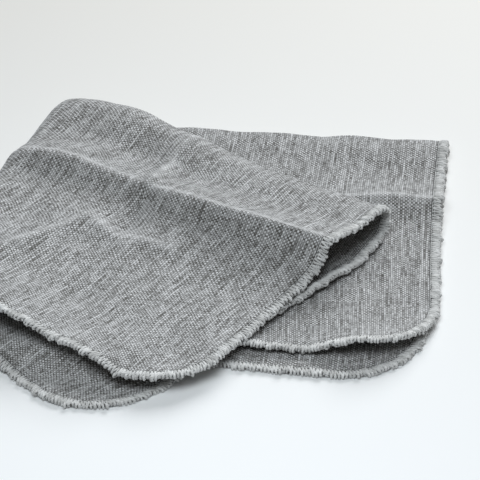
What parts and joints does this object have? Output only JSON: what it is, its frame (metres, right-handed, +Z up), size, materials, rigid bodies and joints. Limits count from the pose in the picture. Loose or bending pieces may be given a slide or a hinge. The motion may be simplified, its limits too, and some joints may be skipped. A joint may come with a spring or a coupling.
{
  "type": "folded face towel",
  "caption": "Woven face towel with rounded corners and an overlocked edge, folded in half twice with its upper half swung to the front, lying on a surface.",
  "frame": {"origin": "on the surface the towel lies on, under the middle of its box", "axes": "+X to the right along the towel's longest side, +Y to the long fold at the back, +Z up"},
  "size_m": [0.2426, 0.2096, 0.0264],
  "materials": {
    "cloth": "coarse plain weave of pale and dark grey yarn, matt",
    "edge_thread": "pale grey overlock stitching, matt"
  },
  "bodies": {
    "root": {"towel": "cloth"}
  },
  "joints": []
}
